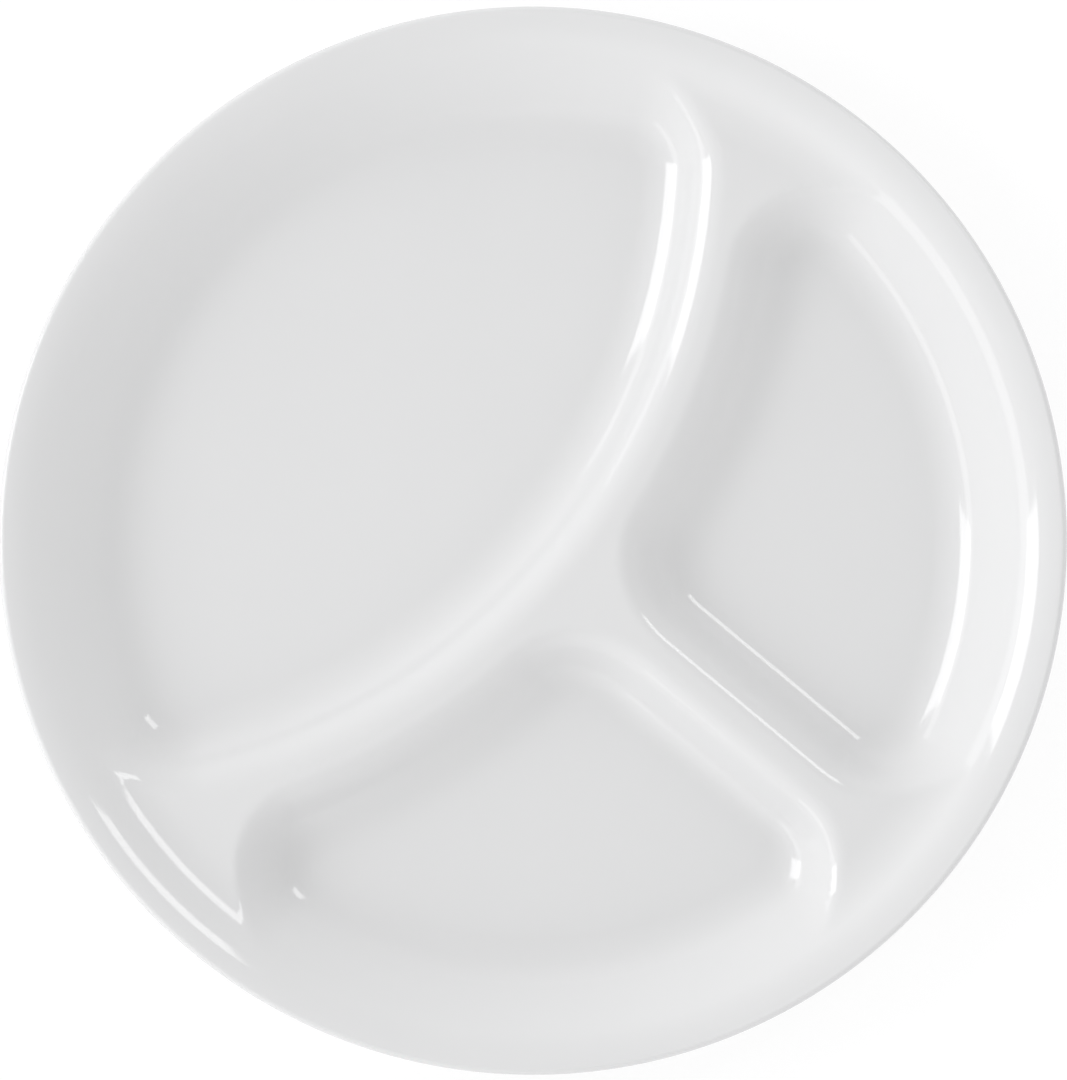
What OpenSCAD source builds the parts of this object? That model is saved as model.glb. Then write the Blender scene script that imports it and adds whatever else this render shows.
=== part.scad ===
// Divided dinner plate with three wells, pressed from one sheet of laminated white glass.
// The sheet has the same thickness everywhere, so the underside is hollow below the dividers.
// Three layers are fused in it: an opal core between two thin clear skins, which meet at the rim edge.
// The straight divider runs along +X, the big well lies towards -X, and the plate rests on z = 0.

/* [Sheet] */
// Diameter over the rim
plate_d = 260; // [215:1:320]
// Thickness of the whole laminated sheet
sheet_t = 2.5; // [1.8:0.1:3.4]
// Thickness of each clear outer skin
skin_t = 0.1; // [0.08:0.01:0.3]

/* [Rim wall] */
// Width in plan of the straight run between the rim wall's two curves
rim_run_w = 10.7; // [5:0.1:15]
// Steepest slope of the rim wall, in degrees
rim_slope = 39.5; // [36:0.5:48]
// Radius of the hollow curve at the foot of the rim wall
rim_foot_r = 16.5; // [10:0.5:20]
// Radius of the round shoulder that leads out to the edge
rim_shoulder_r = 21.5; // [14:0.5:26]
// Slope that the rim still has where it ends at the edge, in degrees
rim_edge_slope = 10.5; // [0:0.5:18]

/* [Dividers] */
// Height of the dividers above the floors
divider_h = 10.2; // [9:0.2:12]
// Radius of the hollow curve that leads from a divider's top up to the rim
land_foot_r = 20; // [8:0.5:26]
// Distance from the plate's centre to the point that the curved divider is struck from
arc_offset = 152; // [140:1:170]
// Radius of the curved divider, along the middle of its top
arc_r = 165.3; // [161:0.1:171]
// Width of the flat on top of the curved divider
arc_flat_w = 0.5; // [0.2:0.1:4]
// Distance of the straight divider's middle from the plate's centre, sideways
straight_offset = -1.3; // [-6:0.1:6]
// Width of the flat on top of the straight divider
straight_flat_w = 0.3; // [0.1:0.1:5]

/* [Big well] */
// Steepest slope of its wall along the divider, in degrees
big_slope = 44; // [38:0.5:50]
// Radius of the hollow curve at the foot of that wall
big_foot_r = 16.5; // [10:0.5:20]
// Radius of the round edge at the top of that wall
big_edge_r = 12; // [7:0.5:14]
// Corner radius of the floor where the divider meets the rim wall
big_corner_r = 4.8; // [1:0.2:12]

/* [Small wells] */
// Steepest slope of their walls along the curved divider, in degrees
small_slope = 41; // [38:1:50]
// Radius of the hollow curve at the foot of those walls
small_foot_r = 18; // [11:0.5:20]
// Radius of the round edge at the top of those walls
small_edge_r = 8; // [5:0.5:11]
// Steepest slope of their walls along the straight divider, in degrees
straight_slope = 46; // [40:1:52]
// Radius of the hollow curve at the foot of those walls
straight_foot_r = 10; // [7:0.5:13]
// Radius of the round edge at the top of those walls
straight_edge_r = 10; // [6:0.5:12]
// Corner radius of the floor between the curved divider and the rim wall
tip_corner_r = 2.2; // [1:0.2:6]
// Corner radius of the floor between the two dividers
inner_corner_r = 9; // [4:0.5:14]
// Corner radius of the floor between the straight divider and the rim wall
outer_corner_r = 4.8; // [1:0.2:10]

/* [Facets] */
// Steps along the rim from the straight divider to the curved one
side_steps = 24; // [14:1:26]
// Steps along the rim of the big well
big_steps = 32; // [18:1:36]
// Steps along each half of the curved divider
arc_steps = 17; // [10:1:18]
// Steps along the straight divider
straight_steps = 14; // [8:1:16]
// How strongly the steps along a divider crowd together towards the rim
crowding = 1.35; // [1:0.05:1.6]
// Steps from a floor's outline up to the top of its wall
wall_steps = 9; // [6:1:10]
// Steps around a quarter of the rounded rim edge
edge_steps = 2; // [2:1:4]

/* [Hidden] */

// Half a step between the two points that a slope is measured across
probe = 0.02;
// Height over which the rim wall's two curves run into each other, so that no crease is left
rim_blend = 0.3;

// The rim edge is a full round. The top face runs into it at rim_r, where it still rises a little
edge_r = sheet_t / 2;
edge_centre_r = plate_d / 2 - edge_r;
rim_r = edge_centre_r - edge_r * sin(rim_edge_slope);

// The floors meet the rim wall on one circle, inside a wall made of a hollow curve, a straight run
// and a round shoulder, each tangent to the next. The shoulder is struck from shoulder_centre_r
shoulder_centre_r = rim_r + rim_shoulder_r * sin(rim_edge_slope);
shoulder_top = rim_shoulder_r * cos(rim_edge_slope);
floor_r = shoulder_centre_r - (rim_foot_r + rim_shoulder_r) * sin(rim_slope) - rim_run_w;
rim_h = rim_foot_r * (1 - cos(rim_slope)) + rim_run_w * tan(rim_slope)
    + shoulder_top - rim_shoulder_r * cos(rim_slope);

// Above a divider the rim wall starts at the divider's top: the same shoulder, a run and its own hollow
land_drop = rim_h - divider_h;
land_full_drop = land_foot_r * (1 - cos(rim_slope)) + shoulder_top - rim_shoulder_r * cos(rim_slope);
land_slope = land_drop < land_full_drop
    ? acos((land_foot_r + shoulder_top - land_drop) / (land_foot_r + rim_shoulder_r))
    : rim_slope;
land_run_w = max(land_drop - land_full_drop, 0) / tan(rim_slope);
land_shoulder_start_r = shoulder_centre_r - rim_shoulder_r * sin(land_slope);
land_foot_end_r = land_shoulder_start_r - land_run_w;
land_end_r = land_foot_end_r - land_foot_r * sin(land_slope);

// Foot radius, slope and top edge radius of each kind of divider wall
BIG = [big_foot_r, big_slope, big_edge_r];
SMALL = [small_foot_r, small_slope, small_edge_r];
STRAIGHT = [straight_foot_r, straight_slope, straight_edge_r];

// What the height needs of a wall: its foot radius, its slope, and the height over which it rounds
// into the divider's top
function wall_style(wall) = [wall[0], wall[1], wall[2] * sin(wall[1]) * tan(wall[1]) / 2];
RIM_WALL = [rim_foot_r, rim_slope, rim_blend];

// Width of a divider's wall, from the floor to the flat on top
function wall_w(style) =
    let (curves = style[0] + style[2], rise = curves * (1 - cos(style[1])))
    curves * sin(style[1]) + (divider_h - rise) / tan(style[1]);

arc_c = [-arc_offset, 0];
big_arc_r = arc_r - arc_flat_w / 2 - wall_w(BIG);
small_arc_r = arc_r + arc_flat_w / 2 + wall_w(SMALL);
straight_half_w = straight_flat_w / 2 + wall_w(STRAIGHT);

// A floor's outline is made of edges. Each holds its kind, its centre or a point on it,
// its radius or its outward normal, and the style of the wall that stands on it
rim_edge = ["inside", [0, 0], floor_r, RIM_WALL];
function straight_edge(side) =
    ["line", [0, straight_offset + side * straight_half_w], [0, -side], wall_style(STRAIGHT)];

// Distance of a point beyond an edge, and the edge's outward normal at that point
function beyond(edge, p) =
    edge[0] == "inside" ? norm(p - edge[1]) - edge[2]
    : edge[0] == "outside" ? edge[2] - norm(p - edge[1])
    : (p - edge[1]) * edge[2];
function outward(edge, p) =
    edge[0] == "inside" ? (p - edge[1]) / norm(p - edge[1])
    : edge[0] == "outside" ? (edge[1] - p) / norm(p - edge[1])
    : edge[2];

// Where two circles cross, on the left (side 1) or the right (side -1) of the way from c1 to c2
function circles_cross(c1, r1, c2, r2, side) =
    let (
        gap = norm(c2 - c1),
        u = (c2 - c1) / gap,
        along = (gap * gap + r1 * r1 - r2 * r2) / (2 * gap),
        across = sqrt(r1 * r1 - along * along)
    )
    c1 + along * u + side * across * [-u[1], u[0]];

// Where a line along +X at height y leaves a circle
function line_leaves(y, c, r) = [c[0] + sqrt(r * r - (y - c[1]) * (y - c[1])), y];

// A corner holds its centre, its radius, and the two edges that it joins
function big_corner(side, edges) =
    [circles_cross([0, 0], floor_r - big_corner_r, arc_c, big_arc_r - big_corner_r, side),
     big_corner_r, edges[0], edges[1]];
function tip_corner(side, edges) =
    [circles_cross([0, 0], floor_r - tip_corner_r, arc_c, small_arc_r + tip_corner_r, -side),
     tip_corner_r, edges[0], edges[1]];
function inner_corner(side, edges) =
    [line_leaves(straight_offset + side * (straight_half_w + inner_corner_r),
                 arc_c, small_arc_r + inner_corner_r),
     inner_corner_r, edges[1], edges[2]];
function outer_corner(side, edges) =
    [line_leaves(straight_offset + side * (straight_half_w + outer_corner_r),
                 [0, 0], floor_r - outer_corner_r),
     outer_corner_r, edges[2], edges[0]];

// A well holds its edges and its corners
function big_well() =
    let (edges = [rim_edge, ["inside", arc_c, big_arc_r, wall_style(BIG)]])
    [edges, [big_corner(1, edges), big_corner(-1, edges)]];
function small_well(side) =
    let (edges = [rim_edge, ["outside", arc_c, small_arc_r, wall_style(SMALL)], straight_edge(side)])
    [edges, [tip_corner(side, edges), inner_corner(side, edges), outer_corner(side, edges)]];
WELLS = [big_well(), small_well(1), small_well(-1)];

function cross_of(a, b) = a[0] * b[1] - a[1] * b[0];
function mix(a, b, share) = a + (b - a) * share;
function ease(share) = share * share * (3 - 2 * share);

// What a corner says of a point: its distance from the floor, the way out, and the wall's style,
// which turns from one edge's to the other's. Undefined where the corner isn't the nearest
function at_corner(corner, p) =
    let (
        v = p - corner[0],
        n1 = outward(corner[2], corner[0]),
        n2 = outward(corner[3], corner[0]),
        turn = sign(cross_of(n1, n2)),
        from_1 = cross_of(n1, v) * turn,
        to_2 = cross_of(v, n2) * turn
    )
    from_1 < 0 || to_2 < 0 || norm(v) == 0 ? undef
    : let (share = atan2(from_1, n1 * v) / atan2(abs(cross_of(n1, n2)), n1 * n2))
      [norm(v) - corner[1], v / norm(v), mix(corner[2][3], corner[3][3], ease(share))];

// The same for the edge that the point is furthest beyond
function at_edges(edges, p, i = 0, best = undef) =
    i == len(edges) ? best
    : let (here = [beyond(edges[i], p), outward(edges[i], p), edges[i][3]])
      at_edges(edges, p, i + 1, best == undef || here[0] > best[0] ? here : best);

function at_well(well, p) =
    let (found = [for (corner = well[1]) let (here = at_corner(corner, p)) if (here != undef) here])
    len(found) > 0 ? found[0] : at_edges(well[0], p);

// Height of the plate before its wells are pressed: the level of the divider tops, and the rim around it
function blank_h(r) =
    r <= land_end_r ? divider_h
    : r <= land_foot_end_r
        ? divider_h + land_foot_r - sqrt(land_foot_r * land_foot_r - (r - land_end_r) * (r - land_end_r))
    : r <= land_shoulder_start_r
        ? divider_h + land_foot_r * (1 - cos(land_slope)) + (r - land_foot_end_r) * tan(rim_slope)
    : let (back = shoulder_centre_r - r)
      rim_h - shoulder_top + sqrt(rim_shoulder_r * rim_shoulder_r - back * back);

// Height of an endless wall at a distance past its foot
function wall_h(d, foot_r, slope) =
    let (foot_w = foot_r * sin(slope))
    d <= 0 ? 0
    : d < foot_w ? foot_r - sqrt(foot_r * foot_r - d * d)
    : foot_r * (1 - cos(slope)) + (d - foot_w) * tan(slope);

// The lower of two heights, rounded over where they differ by less than blend
function lower_of(a, b, blend) =
    let (near = max(blend - abs(a - b), 0))
    min(a, b) - near * near / (4 * blend);

function in_well_h(well, p, blank) =
    let (here = at_well(well, p), style = here[2])
    lower_of(wall_h(here[0], style[0], style[1]), blank, style[2]);

// Height of the eating face above the floors, at a point in plan
function face_h(p) =
    let (blank = blank_h(norm(p)))
    min([for (well = WELLS) in_well_h(well, p, blank)]);

// Upward normal of the eating face
function face_normal(p) =
    let (
        dx = (face_h(p + [probe, 0]) - face_h(p - [probe, 0])) / (2 * probe),
        dy = (face_h(p + [0, probe]) - face_h(p - [0, probe])) / (2 * probe)
    )
    [-dx, -dy, 1] / norm([-dx, -dy, 1]);

// Places in plan where the middles of the dividers meet each other and the rim
rim_meets_arc = circles_cross([0, 0], rim_r, arc_c, arc_r, -1);
rim_meets_straight = line_leaves(straight_offset, [0, 0], rim_r);
dividers_meet = line_leaves(straight_offset, arc_c, arc_r);
arc_angle = atan2(rim_meets_arc[1], rim_meets_arc[0]);
straight_angle = atan2(rim_meets_straight[1], rim_meets_straight[0]);
arc_end = atan2(rim_meets_arc[1], rim_meets_arc[0] - arc_c[0]);
arc_start = atan2(dividers_meet[1], dividers_meet[0] - arc_c[0]);

function on_circle(c, r, angle) = c + r * [cos(angle), sin(angle)];
function steps(from, to, count) = [for (i = [0:count - 1]) mix(from, to, i / count)];
function crowded(i, count) = 1 - pow(1 - i / count, crowding);

// Seam points between the wells: once around the rim, then along the middle of each divider
rim_angles = concat(
    steps(straight_angle, arc_angle, side_steps),
    steps(arc_angle, 360 - arc_angle, big_steps),
    steps(360 - arc_angle, 360 + straight_angle, side_steps)
);
rim_count = len(rim_angles);
upper_arc_angles = [for (i = [1:arc_steps - 1]) mix(arc_start, arc_end, crowded(i, arc_steps))];
lower_arc_angles = [for (i = [1:arc_steps - 1]) mix(arc_start, -arc_end, crowded(i, arc_steps))];
straight_points = [for (i = [1:straight_steps - 1])
    mix(dividers_meet, rim_meets_straight, crowded(i, straight_steps))];
SEAM = concat(
    [for (angle = rim_angles) on_circle([0, 0], rim_r, angle)],
    [for (angle = upper_arc_angles) on_circle(arc_c, arc_r, angle)],
    [for (angle = lower_arc_angles) on_circle(arc_c, arc_r, angle)],
    straight_points,
    [dividers_meet]
);
upper_first = rim_count;
lower_first = upper_first + arc_steps - 1;
straight_first = lower_first + arc_steps - 1;
middle = straight_first + straight_steps - 1;

function run_up(first, count) = [for (i = [0:count - 1]) first + i];
function run_down(first, count) = [for (i = [count - 1:-1:0]) first + i];

// The seam points around each well, counter-clockwise, in the order of WELLS
LOOPS = [
    concat(run_up(side_steps, big_steps + 1), run_down(lower_first, arc_steps - 1), [middle],
           run_up(upper_first, arc_steps - 1)),
    concat(run_up(0, side_steps + 1), run_down(upper_first, arc_steps - 1), [middle],
           run_up(straight_first, straight_steps - 1)),
    concat(run_up(side_steps + big_steps, side_steps), [0], run_down(straight_first, straight_steps - 1),
           [middle], run_up(lower_first, arc_steps - 1))
];

// Plan points of the whole face: the seam, then for each well its rings from the floor outwards
function ring_point(well, index, share) =
    let (p = SEAM[index], here = at_well(WELLS[well], p))
    p - here[1] * here[0] * (1 - share);
PLAN = concat(SEAM, [for (well = [0:2], ring = [0:wall_steps - 1], index = LOOPS[well])
    ring_point(well, index, ring / wall_steps)]);
ring_first = [for (well = [0:2])
    len(SEAM) + wall_steps * (well > 0 ? len(LOOPS[0]) : 0) + wall_steps * (well > 1 ? len(LOOPS[1]) : 0)];

HEIGHTS = [for (p = PLAN) face_h(p)];
NORMALS = [for (p = PLAN) face_normal(p)];

// The face, moved into the sheet by a depth that is measured square to it
function face_points(depth) = [for (i = [0:len(PLAN) - 1])
    [PLAN[i][0], PLAN[i][1], sheet_t + HEIGHTS[i]] - depth * NORMALS[i]];

// Index of a point of a ring, where the outermost ring is the seam itself
function ring_index(well, ring, i) =
    let (count = len(LOOPS[well]), k = i % count)
    ring == wall_steps ? LOOPS[well][k] : ring_first[well] + ring * count + k;

// How far the middle of a straight line between two points of the face misses the face
function miss(a, b) = abs((HEIGHTS[a] + HEIGHTS[b]) / 2 - face_h((PLAN[a] + PLAN[b]) / 2));

// Triangles of the face, seen from above. Each patch is split along its better diagonal
FACE = concat(
    [for (well = [0:2], ring = [0:wall_steps - 1], i = [0:len(LOOPS[well]) - 1])
        let (
            a = ring_index(well, ring, i),
            b = ring_index(well, ring, i + 1),
            c = ring_index(well, ring + 1, i + 1),
            d = ring_index(well, ring + 1, i)
        )
        each miss(a, c) <= miss(b, d) ? [[a, b, c], [a, c, d]] : [[a, b, d], [b, c, d]]],
    [for (well = [0:2]) [for (i = [len(LOOPS[well]) - 1:-1:0]) ring_index(well, 0, i)]]
);
face_count = len(PLAN);

// Rings of points around the rounded rim edge, at angles above the level of its middle
function edge_points(r, angles) = [for (angle = angles, i = [0:rim_count - 1])
    let (out = [cos(rim_angles[i]), sin(rim_angles[i])] * (edge_centre_r + r * cos(angle)))
    [out[0], out[1], sheet_t + rim_h - edge_r * cos(rim_edge_slope) + r * sin(angle)]];

// Triangles of a band between two rings of rim points, given by their first indices
function band(upper, lower) = [for (i = [0:rim_count - 1], half = [0, 1])
    let (k = (i + 1) % rim_count)
    half == 0 ? [upper + i, upper + k, lower + k] : [upper + i, lower + k, lower + i]];
function bands(first, count, start) = [for (j = [0:count - 1])
    each band(j == 0 ? first : start + (j - 1) * rim_count, start + j * rim_count)];
function turned(faces) = [for (face = faces) [for (i = [len(face) - 1:-1:0]) face[i]]];
function shifted(faces, by) = [for (face = faces) [for (i = face) i + by]];

// Angles of a face's part of the rounded edge, from where the face ends to the edge's middle.
// from_angle is face_up for a face above the middle of the sheet and face_down for one below it
face_up = 90 + rim_edge_slope;
face_down = rim_edge_slope - 90;
function half_angles(from_angle, last) = [for (j = [1:last]) from_angle * (1 - j / edge_steps)];

// A layer between two depths. above and below say which side of the edge's middle each face is on
module layer(top_depth, bottom_depth, above, below) {
    top_r = abs(edge_r - top_depth);
    bottom_r = abs(edge_r - bottom_depth);
    shared = top_r == bottom_r;
    top_rows = edge_steps;
    bottom_rows = shared ? edge_steps - 1 : edge_steps;
    top = concat(face_points(top_depth), edge_points(top_r, half_angles(above, top_rows)));
    bottom = concat(face_points(bottom_depth), edge_points(bottom_r, half_angles(below, bottom_rows)));
    top_last = face_count + (top_rows - 1) * rim_count;
    bottom_first = len(top);
    bottom_last = bottom_first + face_count + (bottom_rows - 1) * rim_count;
    polyhedron(
        points = concat(top, bottom),
        faces = concat(
            FACE,
            bands(0, top_rows, face_count),
            band(top_last, bottom_last),
            shifted(turned(concat(FACE, bands(0, bottom_rows, face_count))), bottom_first)
        ),
        convexity = 8
    );
}

// Clear skin on the eating face, out to the middle of the rim edge
module upper_skin() {
    color("white") layer(0, skin_t, face_up, face_up);
}

// Opal core, wrapped by the two skins
module core_sheet() {
    color("ghostwhite") layer(skin_t, sheet_t - skin_t, face_up, face_down);
}

// Clear skin on the underside, which the plate rests on
module lower_skin() {
    color("whitesmoke") layer(sheet_t - skin_t, sheet_t, face_down, face_down);
}

upper_skin();
core_sheet();
lower_skin();
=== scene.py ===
# %% [markdown]
# # A divided dinner plate in pressed white glass
#
# The plate is one sheet of laminated glass: a thick opal core between two thin clear skins.
# While it was hot it was pressed into a rim, two dividers and three wells.
# The lesson makes its smooth faces with numpy, gives them glass finishes, and lights them as
# in a studio.

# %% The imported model
import bpy
import numpy as np
from mathutils import Matrix, Vector


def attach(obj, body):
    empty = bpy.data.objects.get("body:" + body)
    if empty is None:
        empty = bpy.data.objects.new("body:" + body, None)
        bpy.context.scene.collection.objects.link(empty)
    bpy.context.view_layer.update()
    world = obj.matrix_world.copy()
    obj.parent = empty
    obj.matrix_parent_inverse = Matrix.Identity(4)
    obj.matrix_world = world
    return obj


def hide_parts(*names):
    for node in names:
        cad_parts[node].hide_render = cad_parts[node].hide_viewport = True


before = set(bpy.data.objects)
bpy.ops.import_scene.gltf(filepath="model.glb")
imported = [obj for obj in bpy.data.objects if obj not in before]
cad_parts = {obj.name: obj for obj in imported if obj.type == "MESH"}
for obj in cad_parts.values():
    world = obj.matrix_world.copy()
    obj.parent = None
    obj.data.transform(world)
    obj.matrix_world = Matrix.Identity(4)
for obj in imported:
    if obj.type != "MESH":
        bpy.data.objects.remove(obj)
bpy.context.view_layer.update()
print("nodes:", sorted(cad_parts))

# %% [markdown]
# ## Sizes
#
# A plate like this is described by a few radii and slopes, as a mould maker's drawing would be.
# The lengths are in millimetres and the slopes in degrees, because that is how such a drawing reads.
# They are turned into metres only when the points go into a mesh.

# %% Sizes from the drawing
MM = 0.001
plate_d = 260            # across the rim
sheet_t = 2.5            # thickness of the laminated sheet
skin_t = 0.1             # thickness of each clear skin
edge_r = sheet_t / 2     # the rim edge is a full round
rim_run_w = 10.7         # width of the rim wall's straight part, between its two curves
edge_slope = 10.5        # the rim still rises a little where it ends
rim_blend = 0.3          # the rim wall runs into its own shoulder, with hardly any rounding
divider_h = 10.2         # height of the dividers above the floors
land_foot_r = 20.0       # hollow that leads from a divider's top up to the rim

# foot radius, slope, and radius of the round top edge, for each kind of wall
RIM = (16.5, 39.5, 21.5)
BIG = (16.5, 44.0, 12.0)         # the big well's, along the curved divider
SMALL = (18.0, 41.0, 8.0)        # the small wells', along the curved divider
STRAIGHT = (10.0, 46.0, 10.0)    # and along the straight divider

# the curved divider is struck from a point on the far side of the big well
arc_centre = np.array([-152.0, 0.0])
arc_r, arc_flat_w = 165.3, 0.5
straight_offset, straight_flat_w = -1.3, 0.3

# radii of the floors' corners
big_corner_r, tip_corner_r, inner_corner_r, outer_corner_r = 4.8, 2.2, 9.0, 4.8

edge_tilt = np.radians(edge_slope)
edge_centre_r = plate_d / 2 - edge_r                     # middle of the rounded edge
rim_r = edge_centre_r - edge_r * np.sin(edge_tilt)       # where the face ends and the round begins
print("face ends at radius", round(rim_r, 2), "mm")

# %% [markdown]
# ## The wall of a well
#
# Hot glass can't be pressed into a sharp corner. Every wall therefore starts with a hollow curve,
# runs up straight, and rolls over a round shoulder.
# One way to make that is to bevel a modelled corner, but the bevels of three wells meet badly.
# Here each height is a function of how far a point lies beyond the floor, so all the walls blend.

# %% Wall and rim profiles
def rise(foot_r, slope, top_r):
    """Height gained by a foot curve and a shoulder: (foot_r + top_r) times (1 - cos slope)."""
    return (foot_r + top_r) * (1 - np.cos(np.radians(slope)))


def wall_width(style):
    """Width in plan: both curves' sine parts, and the rest of the divider's height over tan slope."""
    foot_r, slope, top_r = style
    a = np.radians(slope)
    return (foot_r + top_r) * np.sin(a) + (divider_h - rise(*style)) / np.tan(a)


def wall_height(d, foot_r, slope):
    """Foot arc foot_r - sqrt(foot_r^2 - d^2) out to foot_r sin slope, then a line at that slope."""
    a = np.radians(slope)
    foot_w = foot_r * np.sin(a)
    d = np.maximum(d, 0)
    curve = foot_r - np.sqrt(foot_r ** 2 - np.minimum(d, foot_w) ** 2)
    return np.where(d < foot_w, curve, foot_r * (1 - np.cos(a)) + (d - foot_w) * np.tan(a))


rim_slope = np.radians(RIM[1])
shoulder_centre_r = rim_r + RIM[2] * np.sin(edge_tilt)            # the shoulder is struck from here
floor_r = shoulder_centre_r - (RIM[0] + RIM[2]) * np.sin(rim_slope) - rim_run_w
rim_h = rise(*RIM) + rim_run_w * np.tan(rim_slope) - RIM[2] * (1 - np.cos(edge_tilt))

# above a divider the same rim starts at the divider's top, so its curves use less of their arcs
land_slope = np.arccos((land_foot_r + RIM[2] * np.cos(edge_tilt) - rim_h + divider_h)
                       / (land_foot_r + RIM[2]))
shoulder_start_r = shoulder_centre_r - RIM[2] * np.sin(land_slope)
land_end_r = shoulder_start_r - land_foot_r * np.sin(land_slope)


def blank_height(r):
    """Level at divider_h, then an arc upwards from land_end_r, then the shoulder's arc to the edge."""
    out = np.clip(r - land_end_r, 0, shoulder_start_r - land_end_r)
    back = shoulder_centre_r - np.maximum(r, shoulder_start_r)
    lower = divider_h + land_foot_r - np.sqrt(land_foot_r ** 2 - out ** 2)
    upper = rim_h - RIM[2] * np.cos(edge_tilt) + np.sqrt(RIM[2] ** 2 - back ** 2)
    return np.where(r < shoulder_start_r, lower, upper)


def wall_style(foot_r, slope, top_r):
    """What the height needs of a wall: foot radius, slope, and the height over which it rounds
    into the divider's top, top_r * sin slope * tan slope / 2."""
    a = np.radians(slope)
    return np.array([foot_r, slope, top_r * np.sin(a) * np.tan(a) / 2])


RIM_WALL = np.array([RIM[0], RIM[1], rim_blend])
big_arc_r = arc_r - arc_flat_w / 2 - wall_width(BIG)
small_arc_r = arc_r + arc_flat_w / 2 + wall_width(SMALL)
straight_half_w = straight_flat_w / 2 + wall_width(STRAIGHT)
print("rim stands", round(rim_h, 2), "mm above the floors; land ends at radius", round(land_end_r, 2))

# %% [markdown]
# ## The outlines of the three floors
#
# Seen from above, each floor is bounded by the rim circle, the curved divider's circle and,
# for the small wells, the straight divider's line. Its corners are rounded by small circles.
# Each corner's centre is where two circles cross, or where a line leaves a circle.

# %% Edges and corners
def circles_cross(c1, r1, c2, r2, side):
    """Along the centre line by (g^2 + r1^2 - r2^2) / 2g, then square to it by Pythagoras."""
    gap = np.linalg.norm(c2 - c1)
    u = (c2 - c1) / gap
    along = (gap ** 2 + r1 ** 2 - r2 ** 2) / (2 * gap)
    return c1 + along * u + side * np.sqrt(r1 ** 2 - along ** 2) * np.array([-u[1], u[0]])


def line_leaves(y, c, r):
    """The point of a circle at height y, on its +X side."""
    return np.array([c[0] + np.sqrt(r ** 2 - (y - c[1]) ** 2), y])


def circle_edge(c, r, sign, wall):
    """Distance beyond a circle, sign (|p - c| - r), and the direction in which it grows."""
    return {"beyond": lambda p: sign * (np.linalg.norm(p - c, axis=-1) - r),
            "outward": lambda q: sign * (q - c) / np.linalg.norm(q - c),
            "wall": wall}


def line_edge(side):
    """Distance towards the straight divider from its wall's foot, on one side of it."""
    y = straight_offset + side * straight_half_w
    return {"beyond": lambda p: side * (y - p[..., 1]),
            "outward": lambda q: np.array([0.0, -side]),
            "wall": wall_style(*STRAIGHT)}


middle = np.zeros(2)
rim_edge = circle_edge(middle, floor_r, 1, RIM_WALL)


def big_well():
    """Inside the rim circle and inside the curved divider's circle, with two rounded tips."""
    arc = circle_edge(arc_centre, big_arc_r, 1, wall_style(*BIG))
    k = big_corner_r
    tips = [(circles_cross(middle, floor_r - k, arc_centre, big_arc_r - k, s), k, rim_edge, arc)
            for s in (1, -1)]
    return [rim_edge, arc], tips


def small_well(s):
    """Inside the rim circle, outside the curved divider's, and beside the straight divider."""
    arc, line = circle_edge(arc_centre, small_arc_r, -1, wall_style(*SMALL)), line_edge(s)
    t, i, o = tip_corner_r, inner_corner_r, outer_corner_r
    foot = straight_offset + s * straight_half_w
    return [rim_edge, arc, line], [
        (circles_cross(middle, floor_r - t, arc_centre, small_arc_r + t, -s), t, rim_edge, arc),
        (line_leaves(foot + s * i, arc_centre, small_arc_r + i), i, arc, line),
        (line_leaves(foot + s * o, middle, floor_r - o), o, line, rim_edge)]


WELLS = [big_well(), small_well(1), small_well(-1)]
for name, well in zip(("big", "upper small", "lower small"), WELLS):
    print(name, "well's corner centres:", [np.round(c[0], 1).tolist() for c in well[1]])

# %% [markdown]
# ## The height of the eating face
#
# A point takes its distance from the edge that it is furthest beyond, or from the corner's circle
# where it lies in that corner's wedge. Through the wedge, the wall turns smoothly from one edge's
# style to the other's. The lowest of the three wells and the unpressed blank gives the height.

# %% Height and normal of the face
def cross(a, b):
    """The flat cross product, ax by - ay bx."""
    return a[..., 0] * b[..., 1] - a[..., 1] * b[..., 0]


def distance_and_style(well, p):
    """Distance beyond the floor's rounded outline, and the style of the wall that stands there.
    In a corner the style is mixed by share^2 (3 - 2 share), which starts and ends gently."""
    edges, corners = well
    d = np.full(p.shape[:-1], -np.inf)
    style = np.zeros(p.shape[:-1] + (3,))
    for edge in edges:
        here = edge["beyond"](p)
        style = np.where((here > d)[..., None], edge["wall"], style)
        d = np.maximum(d, here)
    for c, r, first, second in corners:
        v = p - c
        n1, n2 = first["outward"](c), second["outward"](c)
        turn = np.sign(cross(n1, n2))
        a, b = cross(n1, v) * turn, cross(v, n2) * turn
        share = np.arctan2(a, v @ n1) / np.arctan2(abs(cross(n1, n2)), n1 @ n2)
        wedge = (a >= 0) & (b >= 0)
        s = (share ** 2 * (3 - 2 * share))[..., None]
        d = np.where(wedge, np.linalg.norm(v, axis=-1) - r, d)
        style = np.where(wedge[..., None], first["wall"] + (second["wall"] - first["wall"]) * s, style)
    return d, style


def lower_of(a, b, blend):
    """The lower height, less (blend - |a - b|)^2 / 4 blend where the two are that close."""
    near = np.maximum(blend - np.abs(a - b), 0)
    return np.minimum(a, b) - near ** 2 / (4 * blend)


def face_height(p):
    """Lowest, over the wells, of the well's wall run into the blank."""
    blank = blank_height(np.linalg.norm(p, axis=-1))
    height = np.full(p.shape[:-1], np.inf)
    for well in WELLS:
        d, style = distance_and_style(well, p)
        wall = wall_height(d, style[..., 0], style[..., 1])
        height = np.minimum(height, lower_of(wall, blank, style[..., 2]))
    return height


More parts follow.
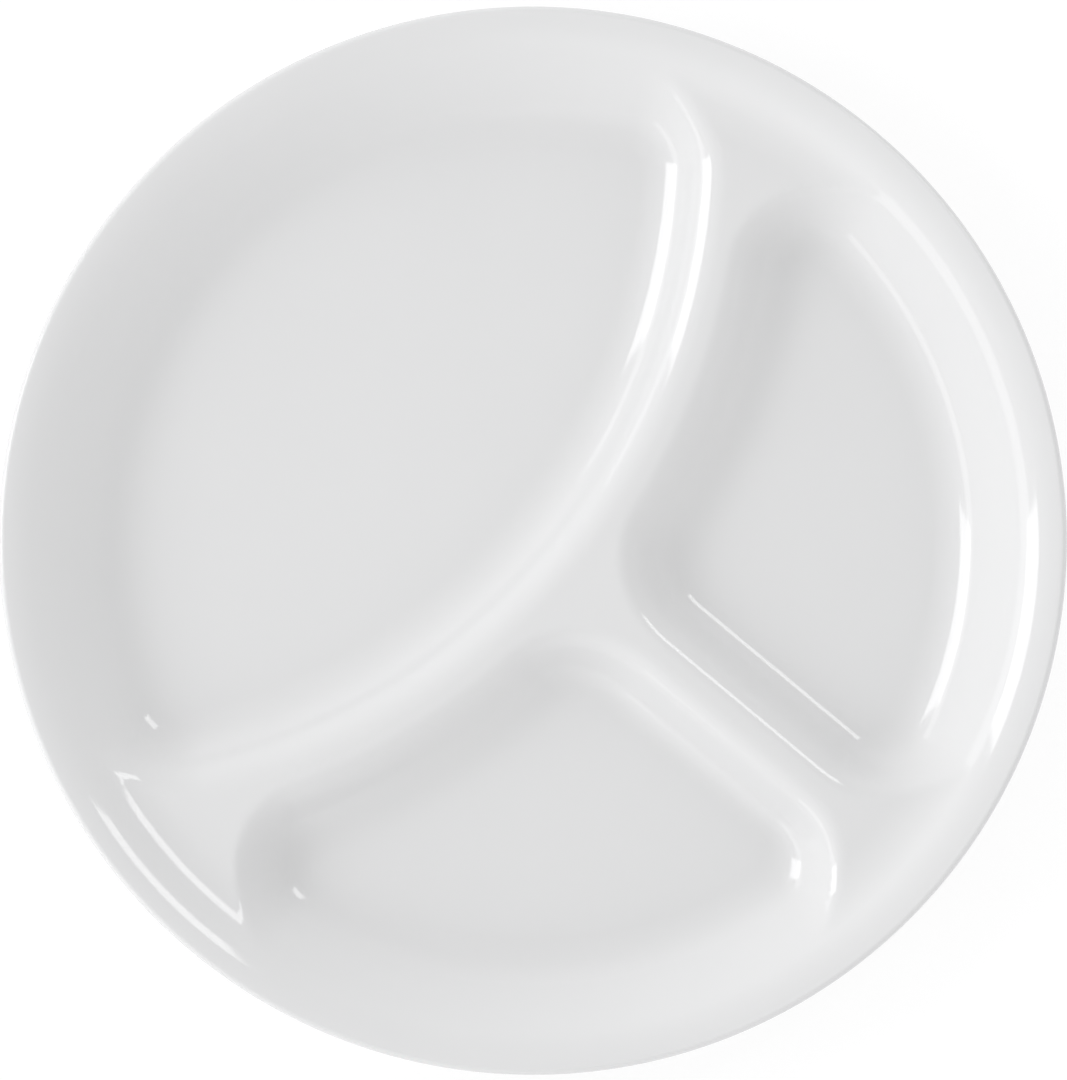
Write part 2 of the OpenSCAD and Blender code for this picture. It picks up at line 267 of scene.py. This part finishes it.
def face_normal(p, probe=0.02):
    """(-dz/dx, -dz/dy, 1) made one unit long, each slope measured across two probes."""
    dx = face_height(p + [probe, 0]) - face_height(p - [probe, 0])
    dy = face_height(p + [0, probe]) - face_height(p - [0, probe])
    n = np.stack([-dx / (2 * probe), -dy / (2 * probe), np.ones_like(dx)], -1)
    return n / np.linalg.norm(n, axis=-1, keepdims=True)


print("height at the centre of the big well:", float(face_height(np.array([[-55.0, 0.0]]))[0]), "mm")

# %% [markdown]
# ## One grid for the three layers
#
# The layers are parallel, so they can share one grid of rings and spokes in plan.
# Each layer's face is that grid moved into the glass along the face's normals.
# A Solidify modifier could do this too, but it wouldn't round the edge about one centre.

# %% The shared grid
spokes = 372
rings = 108
turn = np.linspace(0, 2 * np.pi, spokes, endpoint=False)
radii = np.linspace(0, rim_r, rings + 1)[1:]
directions = np.stack([np.cos(turn), np.sin(turn)], -1)
plan = radii[:, None, None] * directions[None]
heights = face_height(plan)
normals = face_normal(plan)
normals[-1, :, :2] = -np.sin(edge_tilt) * directions     # the last ring leans in by the edge's slope
normals[-1, :, 2] = np.cos(edge_tilt)
centre_height = float(face_height(np.zeros((1, 2)))[0])
centre_normal = face_normal(np.zeros((1, 2)))[0]
steepest = float(np.degrees(np.arccos(normals[..., 2].min())))
print("grid:", plan.shape[:2], "steepest:", round(steepest, 1), "deg")


def face_rows(depth):
    """The rings of the face, each point moved by depth against its normal."""
    points = np.concatenate([plan, sheet_t + heights[..., None]], -1)
    return points - depth * normals


def centre_point(depth):
    """The middle point of the face, moved the same way."""
    return np.array([0, 0, sheet_t + centre_height]) - depth * centre_normal


def edge_rows(r, degrees):
    """Arcs of radius r about the circle that runs inside the rim edge, at angles above level."""
    a = np.radians(np.asarray(degrees, float))[:, None]
    out = (edge_centre_r + r * np.cos(a))[..., None] * directions[None]
    z = np.broadcast_to(sheet_t + rim_h - edge_r * np.cos(edge_tilt) + r * np.sin(a), out.shape[:2])
    points = np.concatenate([out, z[..., None]], -1)
    side = np.concatenate([np.cos(a)[..., None] * directions[None],
                           np.broadcast_to(np.sin(a), out.shape[:2])[..., None]], -1)
    return points, side


# %% [markdown]
# ## From rows of points to a closed mesh
#
# Every layer is a closed shell: it starts at the middle of its upper face, goes out to the edge,
# turns there, and comes back to the middle of its lower face. The two middle points are its poles.
# The exact normals go in with the points, so that reflections run smoothly over the facets,
# and a crease stays sharp because the strips on its two sides are given different normals.

# %% Shell builder
def shell(name, top_pole, bottom_pole, parts):
    """Closed shell through a run of row groups. Each group is (rows, normals), and two
    neighbouring groups share a row's place, so only the first group keeps that row's points."""
    rows = np.concatenate([parts[0][0]] + [part[0][1:] for part in parts[1:]])
    first = np.concatenate([part[1][:-1] for part in parts])
    second = np.concatenate([part[1][1:] for part in parts])
    count = len(rows)
    points = np.concatenate([top_pole[0][None], rows.reshape(-1, 3), bottom_pole[0][None]]) * MM
    index = 1 + np.arange(count * spokes).reshape(count, spokes)
    onward = np.roll(index, -1, axis=1)
    quads = np.stack([index[:-1], index[1:], onward[1:], onward[:-1]], -1).reshape(-1, 4)
    quad_normals = np.stack([first, second, np.roll(second, -1, axis=1), np.roll(first, -1, axis=1)],
                            2).reshape(-1, 3)
    last = len(points) - 1
    top = np.stack([np.zeros(spokes, int), index[0], onward[0]], -1)
    top_n = np.stack([np.broadcast_to(top_pole[1], (spokes, 3)), first[0],
                      np.roll(first[0], -1, axis=0)], 1)
    low = np.stack([np.full(spokes, last), onward[-1], index[-1]], -1)
    low_n = np.stack([np.broadcast_to(bottom_pole[1], (spokes, 3)), np.roll(second[-1], -1, axis=0),
                      second[-1]], 1)
    corners = np.concatenate([quads.ravel(), top.ravel(), low.ravel()])
    starts = np.concatenate([np.arange(len(quads)) * 4, len(quads) * 4 + np.arange(2 * spokes) * 3])
    loop_normals = np.concatenate([quad_normals, top_n.reshape(-1, 3), low_n.reshape(-1, 3)])

    mesh = bpy.data.meshes.new(name)
    mesh.vertices.add(len(points))
    mesh.vertices.foreach_set("co", points.ravel())
    mesh.loops.add(len(corners))
    mesh.loops.foreach_set("vertex_index", corners)
    mesh.polygons.add(len(starts))
    mesh.polygons.foreach_set("loop_start", starts)
    mesh.polygons.foreach_set("use_smooth", np.ones(len(starts), bool))
    mesh.update(calc_edges=True)
    changed = mesh.validate()
    mesh.normals_split_custom_set(loop_normals.tolist())
    piece = bpy.data.objects.new(name, mesh)
    bpy.context.scene.collection.objects.link(piece)
    print(name, "-", len(points), "points,", len(starts), "faces, repaired:", changed)
    return piece


UPPER_TURN = np.linspace(90 + edge_slope, 0, 6)      # from the eating face down to the edge's middle
LOWER_TURN = np.linspace(0, edge_slope - 90, 5)      # and on to the underside


def face_part(depth, up):
    """Rows and normals of a face, from the middle outwards when it looks up, inwards when down."""
    rows = face_rows(depth)
    return (rows, normals) if up else (rows[::-1], -normals[::-1])


print("rows round the edge:", len(UPPER_TURN), "above its middle,", len(LOWER_TURN), "below")


# %% [markdown]
# ## The clear skin on the eating face
#
# This skin is what the eye sees of the plate: a hard, brilliant surface fused to the white core.
# It runs out over the rim and ends at the middle of the rounded edge, on a flat ring
# as wide as the skin is thick.

# %% Eating-face skin
def end_ring(r_from, r_to, z_normal):
    """The flat ring between two radii at the middle of the edge, with a plain normal."""
    rows = np.concatenate([edge_rows(r_from, [0])[0], edge_rows(r_to, [0])[0]])
    return rows, np.broadcast_to(np.array([0.0, 0.0, z_normal]), rows.shape)


def arc_part(r, degrees, out):
    """An arc of the rounded edge, with normals pointing away from its centre or towards it."""
    rows, side = edge_rows(r, degrees)
    return rows, side if out else -side


inner_r = edge_r - skin_t
eating_skin = shell(
    "eating_face_skin",
    (centre_point(0), centre_normal), (centre_point(skin_t), -centre_normal),
    [face_part(0, True), arc_part(edge_r, UPPER_TURN, True), end_ring(edge_r, inner_r, -1.0),
     arc_part(inner_r, UPPER_TURN[::-1], False), face_part(skin_t, False)])

# %% [markdown]
# ## The opal core
#
# The core is the thick white glass between the skins. Nothing of it shows from outside,
# but it is made in full, because the plate is an assembly and might be shown in section.

# %% Opal core
opal_core = shell(
    "opal_core",
    (centre_point(skin_t), centre_normal), (centre_point(sheet_t - skin_t), -centre_normal),
    [face_part(skin_t, True), arc_part(inner_r, UPPER_TURN, True), arc_part(inner_r, LOWER_TURN, True),
     face_part(sheet_t - skin_t, False)])

# %% [markdown]
# ## The clear skin on the underside
#
# The underside copies the eating face at the sheet's thickness, because the sheet was pressed
# and not cast: below each divider there is a hollow. The plate rests on the flat undersides
# of its wells.

# %% Underside skin
underside_skin = shell(
    "underside_skin",
    (centre_point(sheet_t - skin_t), centre_normal), (centre_point(sheet_t), -centre_normal),
    [face_part(sheet_t - skin_t, True), arc_part(inner_r, LOWER_TURN[::-1], False),
     end_ring(inner_r, edge_r, 1.0), arc_part(edge_r, LOWER_TURN, True), face_part(sheet_t, False)])

for piece, node, slot in ((eating_skin, "upper_skin", "upper_clear_glass"),
                          (opal_core, "core_sheet", "opal_glass"),
                          (underside_skin, "lower_skin", "lower_clear_glass")):
    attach(piece, "root")
    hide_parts(node)
print("size of the eating-face skin:", [round(v * 1000, 2) for v in eating_skin.dimensions], "mm")

# %% [markdown]
# ## Effects that the glass finishes share
#
# Pressed glass is never quite flat: it keeps long, shallow waves from the mould and a very fine
# orange-peel from the fire polish. In use it gathers hair-fine scuffs and a faint film.
# Each of these is a node group with named inputs, so every finish can use it at its own strength.
# The groups put out plain values and colours, and the shader itself stays in each material.

# %% Node group helpers
def new_group(name, inputs, outputs):
    """An empty shader node group with float inputs (name, default) and outputs (name, socket type)."""
    group = bpy.data.node_groups.new(name, "ShaderNodeTree")
    for label, default in inputs:
        socket = group.interface.new_socket(name=label, in_out="INPUT", socket_type="NodeSocketFloat")
        socket.default_value = default
    for label, kind in outputs:
        group.interface.new_socket(name=label, in_out="OUTPUT", socket_type=kind)
    nodes = group.nodes
    return group, nodes.new("NodeGroupInput"), nodes.new("NodeGroupOutput")


def add(tree, kind, values=None, **settings):
    """A node with its settings and the values of its unlinked inputs."""
    node = tree.nodes.new(kind)
    for key, value in settings.items():
        setattr(node, key, value)
    for key, value in (values or {}).items():
        node.inputs[key].default_value = value
    return node


def math(tree, operation, a, b=None):
    """A Math node. Each operand is a number or a socket."""
    node = add(tree, "ShaderNodeMath", operation=operation)
    for i, value in enumerate((a, b)):
        if value is None:
            continue
        if isinstance(value, (int, float)):
            node.inputs[i].default_value = value
        else:
            tree.links.new(value, node.inputs[i])
    return node.outputs[0]


print("helpers: new_group, add, math")

# %% [markdown]
# The relief is the sum of two noises, a slow one for the waves that the mould leaves and a fine
# one for the orange-peel. Both are far shallower than a grid cell, so they belong in a bump.

# %% Mould waves and orange-peel
def pressing_relief():
    """Height = wave * slow noise + peel * fine noise, in metres."""
    group, given, out = new_group("pressing_relief", [("Wave", 0.00002), ("Peel", 0.000001)],
                                  [("Height", "NodeSocketFloat")])
    where = add(group, "ShaderNodeTexCoord").outputs["Object"]
    slow = add(group, "ShaderNodeTexNoise", {"Scale": 26.0, "Detail": 1.5, "Roughness": 0.4})
    fine = add(group, "ShaderNodeTexNoise", {"Scale": 420.0, "Detail": 2.0, "Roughness": 0.5})
    group.links.new(where, slow.inputs["Vector"])
    group.links.new(where, fine.inputs["Vector"])
    waves = math(group, "MULTIPLY", slow.outputs["Fac"], given.outputs["Wave"])
    peel = math(group, "MULTIPLY", fine.outputs["Fac"], given.outputs["Peel"])
    group.links.new(math(group, "ADD", waves, peel), out.inputs["Height"])
    return group


relief_group = pressing_relief()
print("group:", relief_group.name)

# %% [markdown]
# Scuffs are drawn as thin lines where two stretched noises cross zero in different directions.
# A real scuff is far thinner than a grid cell, so it belongs in the roughness and not in the mesh.
# The film is a slow noise, as fingers and water leave it.

# %% Scuffs and film
def use_marks():
    """Scuffs: 1 where |noise - 0.5| of a stretched noise is under a hair's width, thinned by
    a slow noise. Film: the slow noise itself, from 0 to 1."""
    group, given, out = new_group("use_marks", [("Spread", 0.5)],
                                  [("Scuffs", "NodeSocketFloat"), ("Film", "NodeSocketFloat")])
    where = add(group, "ShaderNodeTexCoord").outputs["Object"]
    lines = []
    for angle, stretch in ((0.4, 900.0), (1.7, 760.0), (2.6, 820.0)):
        spin = add(group, "ShaderNodeMapping",
                   {"Rotation": (0, 0, angle), "Scale": (38.0, stretch, 38.0)})
        group.links.new(where, spin.inputs["Vector"])
        noise = add(group, "ShaderNodeTexNoise", {"Scale": 1.0, "Detail": 1.0, "Roughness": 0.4})
        group.links.new(spin.outputs["Vector"], noise.inputs["Vector"])
        off = math(group, "ABSOLUTE", math(group, "SUBTRACT", noise.outputs["Fac"], 0.5))
        hair = add(group, "ShaderNodeMapRange",
                   {"From Min": 0.0, "From Max": 0.012, "To Min": 1.0, "To Max": 0.0})
        group.links.new(off, hair.inputs["Value"])
        lines.append(hair.outputs["Result"])
    both = math(group, "MAXIMUM", math(group, "MAXIMUM", lines[0], lines[1]), lines[2])
    patches = add(group, "ShaderNodeTexNoise", {"Scale": 55.0, "Detail": 2.0, "Roughness": 0.5})
    group.links.new(where, patches.inputs["Vector"])
    keep = add(group, "ShaderNodeMapRange",
               {"From Min": 0.35, "From Max": 0.75, "To Min": 0.0, "To Max": 1.0})
    group.links.new(patches.outputs["Fac"], keep.inputs["Value"])
    thinned = math(group, "MULTIPLY", both, keep.outputs["Result"])
    group.links.new(math(group, "MULTIPLY", thinned, given.outputs["Spread"]), out.inputs["Scuffs"])
    film = add(group, "ShaderNodeTexNoise", {"Scale": 17.0, "Detail": 3.0, "Roughness": 0.55})
    group.links.new(where, film.inputs["Vector"])
    group.links.new(film.outputs["Fac"], out.inputs["Film"])
    return group


marks_group = use_marks()
print("group:", marks_group.name)

# %% [markdown]
# Opal glass owes its white to fine crystals, which are never spread quite evenly.
# The cloud is a soft mottling between two nearly equal whites, a warmer and a cooler one.

# %% Opal cloud
def opal_cloud():
    """Colour = mix of a light and a dark white by a two-scale noise."""
    group, given, out = new_group("opal_cloud", [("Contrast", 0.5)], [("Color", "NodeSocketColor")])
    light = group.interface.new_socket(name="Light", in_out="INPUT", socket_type="NodeSocketColor")
    dark = group.interface.new_socket(name="Dark", in_out="INPUT", socket_type="NodeSocketColor")
    light.default_value, dark.default_value = (0.8, 0.8, 0.81, 1), (0.78, 0.785, 0.795, 1)
    where = add(group, "ShaderNodeTexCoord").outputs["Object"]
    noise = add(group, "ShaderNodeTexNoise", {"Scale": 34.0, "Detail": 4.0, "Roughness": 0.55})
    group.links.new(where, noise.inputs["Vector"])
    share = math(group, "MULTIPLY", noise.outputs["Fac"], given.outputs["Contrast"])
    mix = add(group, "ShaderNodeMix", data_type="RGBA")
    group.links.new(share, mix.inputs["Factor"])
    group.links.new(given.outputs["Light"], mix.inputs["A"])
    group.links.new(given.outputs["Dark"], mix.inputs["B"])
    group.links.new(mix.outputs["Result"], out.inputs["Color"])
    return group


cloud_group = opal_cloud()
print("group:", cloud_group.name)

# %% [markdown]
# ## The glass finishes
#
# White glass under a clear skin can be made as clear glass over a white body, but light then has
# to find its way through both, which is slow and noisy for a skin that is a tenth of a millimetre.
# A glossy surface with a white body colour looks the same, so each skin carries the white below it.

# %% Glass finish
def glass_finish(name, light, dark, contrast, roughness, scuffs, film, wave, peel):
    """Principled surface: cloud into Base Color, roughness + film + scuffs into Roughness,
    and the pressing relief through a Bump node into Normal."""
    material = bpy.data.materials.new(name)
    material.use_nodes = True
    tree = material.node_tree
    surface = tree.nodes["Principled BSDF"]
    surface.inputs["IOR"].default_value = 1.5

    cloud = add(tree, "ShaderNodeGroup", node_tree=cloud_group)
    cloud.inputs["Contrast"].default_value = contrast
    cloud.inputs["Light"].default_value = (*light, 1)
    cloud.inputs["Dark"].default_value = (*dark, 1)
    tree.links.new(cloud.outputs["Color"], surface.inputs["Base Color"])

    marks = add(tree, "ShaderNodeGroup", node_tree=marks_group)
    marks.inputs["Spread"].default_value = scuffs
    worn = math(tree, "ADD", math(tree, "MULTIPLY", marks.outputs["Film"], film), roughness)
    tree.links.new(math(tree, "ADD", worn, marks.outputs["Scuffs"]), surface.inputs["Roughness"])

    relief = add(tree, "ShaderNodeGroup", node_tree=relief_group)
    relief.inputs["Wave"].default_value = wave
    relief.inputs["Peel"].default_value = peel
    bump = add(tree, "ShaderNodeBump", {"Strength": 1.0, "Distance": 1.0})
    tree.links.new(relief.outputs["Height"], bump.inputs["Height"])
    tree.links.new(bump.outputs["Normal"], surface.inputs["Normal"])
    return material


brilliant = glass_finish("brilliant_white_glass", (0.795, 0.796, 0.800), (0.773, 0.775, 0.780), 0.8,
                         roughness=0.05, scuffs=0.05, film=0.05, wave=0.00003, peel=0.0000006)
opal = glass_finish("opal_glass_body", (0.805, 0.806, 0.81), (0.765, 0.768, 0.774), 1.0,
                    roughness=0.3, scuffs=0.0, film=0.1, wave=0.0, peel=0.000002)
rested = glass_finish("rested_white_glass", (0.79, 0.791, 0.795), (0.763, 0.765, 0.77), 0.9,
                      roughness=0.09, scuffs=0.2, film=0.08, wave=0.00003, peel=0.0000012)
for piece, material in ((eating_skin, brilliant), (opal_core, opal), (underside_skin, rested)):
    piece.data.materials.append(material)
    print(piece.name, "wears", material.name)

# %% [markdown]
# ## The studio
#
# The plate lies on a white table. A large pale surface is easy to overlight, so the table shows
# the camera its own white and only part of its shading: the plate's soft shadow stays, and the
# rest of the table is as white as paper.

# %% White table
TABLE_GAP = 0.0001           # the table lies this far below the plate's resting face
PAPER_WHITE = 1.08           # the white that the camera is shown
PAPER_SHARE = 0.8            # how much of it; the rest is the table's own shading


def table_top():
    """A flat square, a tenth of a millimetre below the plate's resting face."""
    half = 3.0
    mesh = bpy.data.meshes.new("table_top")
    corners = [(x * half, y * half, -TABLE_GAP) for x, y in ((-1, -1), (1, -1), (1, 1), (-1, 1))]
    mesh.from_pydata(corners, [], [(0, 1, 2, 3)])
    table = bpy.data.objects.new("table_top", mesh)
    bpy.context.scene.collection.objects.link(table)
    material = bpy.data.materials.new("white_table")
    material.use_nodes = True
    tree = material.node_tree
    surface = tree.nodes["Principled BSDF"]
    surface.inputs["Base Color"].default_value = (0.85, 0.85, 0.855, 1)
    surface.inputs["Roughness"].default_value = 0.9
    surface.inputs["Specular IOR Level"].default_value = 0.0
    glow = add(tree, "ShaderNodeEmission", {"Color": (1, 1, 1, 1), "Strength": PAPER_WHITE})
    path = add(tree, "ShaderNodeLightPath")
    seen = math(tree, "MAXIMUM", path.outputs["Is Camera Ray"], path.outputs["Is Glossy Ray"])
    seen = math(tree, "MAXIMUM", seen, path.outputs["Is Transmission Ray"])
    mix = add(tree, "ShaderNodeMixShader")
    tree.links.new(math(tree, "MULTIPLY", seen, PAPER_SHARE), mix.inputs[0])
    tree.links.new(surface.outputs[0], mix.inputs[1])
    tree.links.new(glow.outputs[0], mix.inputs[2])
    tree.links.new(mix.outputs[0], tree.nodes["Material Output"].inputs["Surface"])
    mesh.materials.append(material)
    return table


table = table_top()
print("table:", table.name)

# %% [markdown]
# ## Light
#
# White china shows its shape by slight steps of grey, so most of the light comes from the room:
# its walls are bright and its ceiling is dimmer, which leaves the floors of the wells a little
# greyer than the slopes. A tall softbox on the left draws the bright lines down the right-hand
# rim and the top of the curved divider. A small panel from the upper right draws the short, thin
# lines on the lower-left rim and along the straight divider.
# A long, low panel on the left and a weak one from the lower left lift the walls that face them.
# Each lamp is set by the brightness of its surface, so a change of size keeps its look.

# %% Room and lamps
PICTURE_TURN = 39.8          # the picture's left-to-right direction, in degrees from +X


def room_light(walls, ceiling, lean, picture_turn):
    """World whose strength runs smoothly from walls near the horizon to ceiling overhead, plus
    lean . direction, and never less than a fifth. To the camera it is white."""
    world = bpy.data.worlds.new("room")
    world.use_nodes = True
    tree = world.node_tree
    turned = Matrix.Rotation(np.radians(picture_turn), 3, "Z") @ Vector(lean)
    where = add(tree, "ShaderNodeTexCoord").outputs["Generated"]
    height = add(tree, "ShaderNodeSeparateXYZ")
    tree.links.new(where, height.inputs[0])
    fade = add(tree, "ShaderNodeMapRange",
               {"From Min": 0.3, "From Max": 0.95, "To Min": walls, "To Max": ceiling},
               interpolation_type="SMOOTHSTEP")
    tree.links.new(height.outputs["Z"], fade.inputs["Value"])
    along = add(tree, "ShaderNodeVectorMath", operation="DOT_PRODUCT")
    tree.links.new(where, along.inputs[0])
    along.inputs[1].default_value = turned
    strength = math(tree, "ADD", along.outputs["Value"], fade.outputs["Result"])
    strength = math(tree, "MAXIMUM", strength, 0.2)
    path = add(tree, "ShaderNodeLightPath")
    seen = add(tree, "ShaderNodeMix", {"B": 1.0}, data_type="FLOAT")
    tree.links.new(path.outputs["Is Camera Ray"], seen.inputs["Factor"])
    tree.links.new(strength, seen.inputs["A"])
    tree.links.new(seen.outputs["Result"], tree.nodes["Background"].inputs["Strength"])
    tree.nodes["Background"].inputs["Color"].default_value = (1, 1, 1, 1)
    return world


world = room_light(1.14, 0.5, (-0.10, -0.03, 0.0), PICTURE_TURN)
bpy.context.scene.world = world


def softbox(name, azimuth, elevation, distance, width, height, brightness):
    """A rectangle that faces the plate. Azimuth is counter-clockwise from the picture's right,
    and power = pi * area * brightness."""
    a, e = np.radians(azimuth + PICTURE_TURN), np.radians(elevation)
    towards = Vector((np.cos(a) * np.cos(e), np.sin(a) * np.cos(e), np.sin(e)))
    lamp = bpy.data.lights.new(name, "AREA")
    lamp.shape, lamp.size, lamp.size_y = "RECTANGLE", width, height
    lamp.energy = float(np.pi * width * height * brightness)
    item = bpy.data.objects.new(name, lamp)
    facing = towards.to_track_quat("Z", "Y").to_matrix().to_4x4()
    item.matrix_world = Matrix.Translation(towards * distance) @ facing
    bpy.context.scene.collection.objects.link(item)
    print(name, "- power", round(lamp.energy, 2), "W")
    return item


# azimuth and elevation in degrees; distance, width and height in metres; then the brightness
softbox("tall_softbox", 170, 34.5, 1.5, 0.58, 0.56, 4.4)
softbox("bar_light", 43, 50, 1.5, 0.38, 0.26, 4.6)
softbox("side_panel", 190, 25, 1.8, 3.0, 0.34, 1.3)
softbox("front_panel", 240, 40, 1.8, 1.8, 0.9, 0.22)

# %% [markdown]
# ## The camera
#
# The photograph looks straight down, and the plate just fills its frame.
# A long lens from far away keeps the rim and the floors at nearly the same scale, as there.
# The camera is rolled so that the straight divider points to the lower right.

# %% Camera
FRAME_WIDTH_PX = 1067
PX_PER_MM = 4.109            # scale of the rim in the picture
SENSOR_MM = 36.0
OFF_CENTRE_PX = 0.7          # the plate lies this far left of and below the picture's middle
camera_gap = 3.0             # metres from the rim to the lens

camera_data = bpy.data.cameras.new("camera")
camera_data.sensor_fit = "HORIZONTAL"
camera_data.sensor_width = SENSOR_MM
rim_level = (sheet_t + rim_h - edge_r) * MM
camera_data.lens = SENSOR_MM * camera_gap / (FRAME_WIDTH_PX / PX_PER_MM * MM)
camera_data.clip_end = 50.0
camera = bpy.data.objects.new("camera", camera_data)
roll = np.radians(PICTURE_TURN)
right = Vector((np.cos(roll), np.sin(roll), 0))
up = Vector((-np.sin(roll), np.cos(roll), 0))
aim = (right + up) * OFF_CENTRE_PX * (MM / PX_PER_MM)
camera.location = aim + Vector((0, 0, rim_level + camera_gap))
camera.rotation_euler = (0, 0, roll)
bpy.context.scene.collection.objects.link(camera)
bpy.context.scene.camera = camera
bpy.context.scene.view_settings.view_transform = "Standard"
print("lens:", round(camera_data.lens, 1), "mm")
